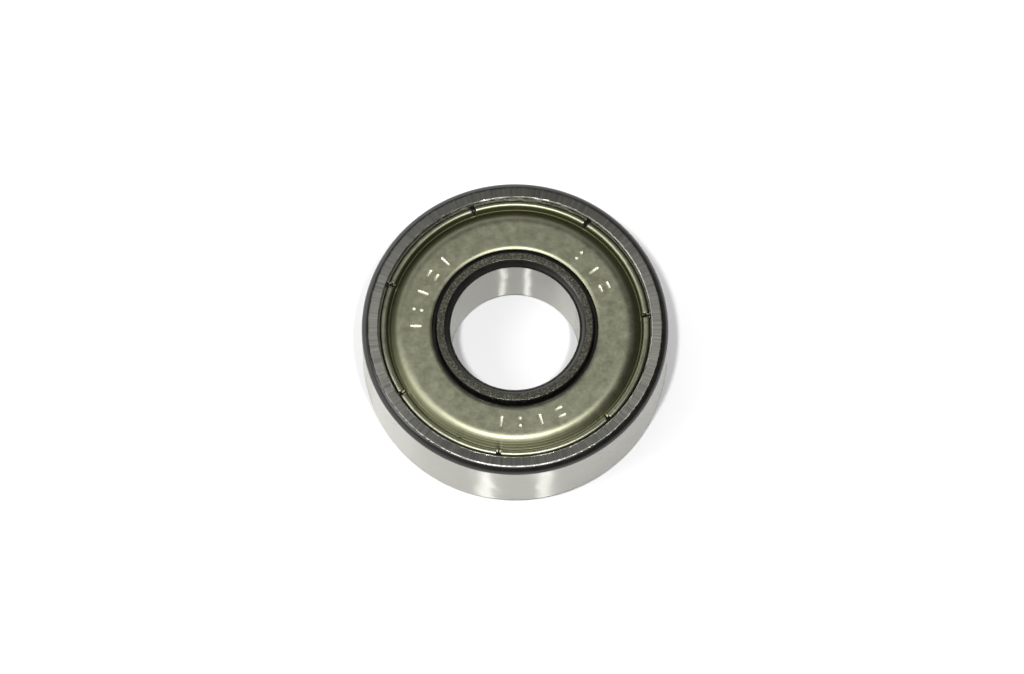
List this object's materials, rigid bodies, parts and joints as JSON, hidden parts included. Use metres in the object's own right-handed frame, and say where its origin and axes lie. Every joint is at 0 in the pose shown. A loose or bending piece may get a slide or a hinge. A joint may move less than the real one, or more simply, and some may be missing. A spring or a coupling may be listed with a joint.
{
  "type": "ball bearing",
  "caption": "Small deep-groove ball bearing with a pressed metal shield crimped into each side; the inner ring spins freely inside the outer ring.",
  "frame": {"origin": "centre of the bearing, on the spin axis, halfway between the two faces", "axes": "+Z along the spin axis, out of the upper shielded face; +X and +Y lie in the middle plane, with one ball on +Y"},
  "size_m": [0.019, 0.019, 0.006],
  "materials": {
    "ring_steel": "hardened bearing steel, ground faces and outside, darker turned corners",
    "shield_steel": "pressed sheet steel with a satin warm grey plating",
    "ball_steel": "lapped to a mirror",
    "cage_steel": "pressed cold-rolled steel, tumbled",
    "rivet_steel": "bright wire, heads formed cold"
  },
  "bodies": {
    "outer_ring": {"outer_ring": "ring_steel", "shield_top": "shield_steel", "shield_bottom": "shield_steel"},
    "inner_ring": {"inner_ring": "ring_steel"},
    "cage": {"cage_upper": "cage_steel", "cage_lower": "cage_steel", "rivet_1": "rivet_steel", "rivet_2": "rivet_steel", "rivet_3": "rivet_steel", "rivet_4": "rivet_steel", "rivet_5": "rivet_steel", "rivet_6": "rivet_steel", "rivet_7": "rivet_steel"},
    "ball_1": {"ball_1": "ball_steel"},
    "ball_2": {"ball_2": "ball_steel"},
    "ball_3": {"ball_3": "ball_steel"},
    "ball_4": {"ball_4": "ball_steel"},
    "ball_5": {"ball_5": "ball_steel"},
    "ball_6": {"ball_6": "ball_steel"},
    "ball_7": {"ball_7": "ball_steel"}
  },
  "joints": [
    {"name": "inner_ring_spin", "type": "hinge", "parent": "outer_ring", "child": "inner_ring", "pos_m": [0, 0, 0], "axis": [0, 0, 1], "continuous": true},
    {"name": "cage_spin", "type": "hinge", "parent": "outer_ring", "child": "cage", "pos_m": [0, 0, 0], "axis": [0, 0, 1], "continuous": true},
    {"name": "ball_1_spin", "type": "hinge", "parent": "cage", "child": "ball_1", "pos_m": [0, 0.00675, 0], "axis": [0, 0, 1], "continuous": true},
    {"name": "ball_2_spin", "type": "hinge", "parent": "cage", "child": "ball_2", "pos_m": [-0.00528, 0.00421, 0], "axis": [0, 0, 1], "continuous": true},
    {"name": "ball_3_spin", "type": "hinge", "parent": "cage", "child": "ball_3", "pos_m": [-0.00658, -0.0015, 0], "axis": [0, 0, 1], "continuous": true},
    {"name": "ball_4_spin", "type": "hinge", "parent": "cage", "child": "ball_4", "pos_m": [-0.00293, -0.00608, 0], "axis": [0, 0, 1], "continuous": true},
    {"name": "ball_5_spin", "type": "hinge", "parent": "cage", "child": "ball_5", "pos_m": [0.00293, -0.00608, 0], "axis": [0, 0, 1], "continuous": true},
    {"name": "ball_6_spin", "type": "hinge", "parent": "cage", "child": "ball_6", "pos_m": [0.00658, -0.0015, 0], "axis": [0, 0, 1], "continuous": true},
    {"name": "ball_7_spin", "type": "hinge", "parent": "cage", "child": "ball_7", "pos_m": [0.00528, 0.00421, 0], "axis": [0, 0, 1], "continuous": true}
  ],
  "couplings": [
    {"joint": "cage_spin", "follows": "inner_ring_spin", "ratio": 0.38241},
    {"joint": "ball_1_spin", "follows": "inner_ring_spin", "ratio": -2.0084},
    {"joint": "ball_2_spin", "follows": "inner_ring_spin", "ratio": -2.0084},
    {"joint": "ball_3_spin", "follows": "inner_ring_spin", "ratio": -2.0084},
    {"joint": "ball_4_spin", "follows": "inner_ring_spin", "ratio": -2.0084},
    {"joint": "ball_5_spin", "follows": "inner_ring_spin", "ratio": -2.0084},
    {"joint": "ball_6_spin", "follows": "inner_ring_spin", "ratio": -2.0084},
    {"joint": "ball_7_spin", "follows": "inner_ring_spin", "ratio": -2.0084}
  ]
}
